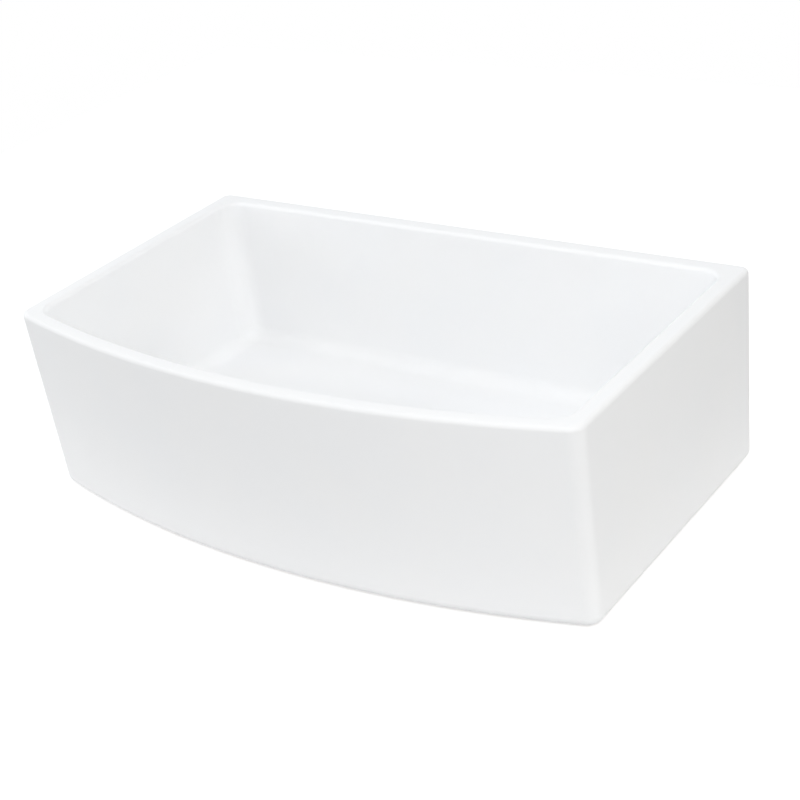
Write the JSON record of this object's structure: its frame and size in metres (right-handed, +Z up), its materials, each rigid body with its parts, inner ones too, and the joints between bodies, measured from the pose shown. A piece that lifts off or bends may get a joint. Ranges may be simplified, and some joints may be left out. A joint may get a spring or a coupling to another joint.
{
  "type": "farmhouse apron front sink",
  "caption": "Bowed apron-front farmhouse kitchen sink in white glazed fireclay, with one deep coved bowl and a lift-out basket strainer waste.",
  "frame": {"origin": "on the axis of the drain, in the plane of the foot on which the sink stands", "axes": "+X to the right as seen from the front, the apron faces -Y, +Z up"},
  "size_m": [0.8378, 0.4907, 0.4076],
  "materials": {
    "glazed_fireclay": "white gloss glaze over cream fireclay, bare clay underneath",
    "stainless_steel": "satin",
    "polished_steel": "polished",
    "chromed_brass": "bright plated",
    "cast_brass": "as cast, tumbled",
    "black_rubber": "moulded matt",
    "foam_seal": "closed-cell foam",
    "pressed_fibre": "pressed fibre",
    "white_nylon": "moulded"
  },
  "bodies": {
    "sink": {"sink_basin": "glazed_fireclay", "strainer_body": "stainless_steel", "outlet_spigot": "stainless_steel", "flange_seal": "foam_seal", "body_gasket": "black_rubber", "fibre_washer": "pressed_fibre", "lock_nut": "cast_brass", "tailpiece_washer": "white_nylon", "tailpiece": "chromed_brass", "coupling_nut": "chromed_brass"},
    "basket": {"basket_cup": "stainless_steel", "post_bush": "white_nylon", "post_o_ring": "black_rubber"},
    "stopper": {"rubber_stopper": "black_rubber"},
    "spindle": {"stopper_post": "stainless_steel", "stopper_washer": "stainless_steel", "stopper_nut": "stainless_steel", "knob": "polished_steel"}
  },
  "joints": [
    {"name": "basket_lift", "type": "slide", "parent": "sink", "child": "basket", "axis": [0, 0, 1], "range_m": [0, 0.3]},
    {"name": "stopper_pull", "type": "slide", "parent": "basket", "child": "stopper", "axis": [0, 0, 1], "range_m": [0, 0.008]},
    {"name": "knob_turn", "type": "hinge", "parent": "stopper", "child": "spindle", "pos_m": [0, 0, 0.03], "axis": [0, 0, 1], "continuous": true}
  ]
}
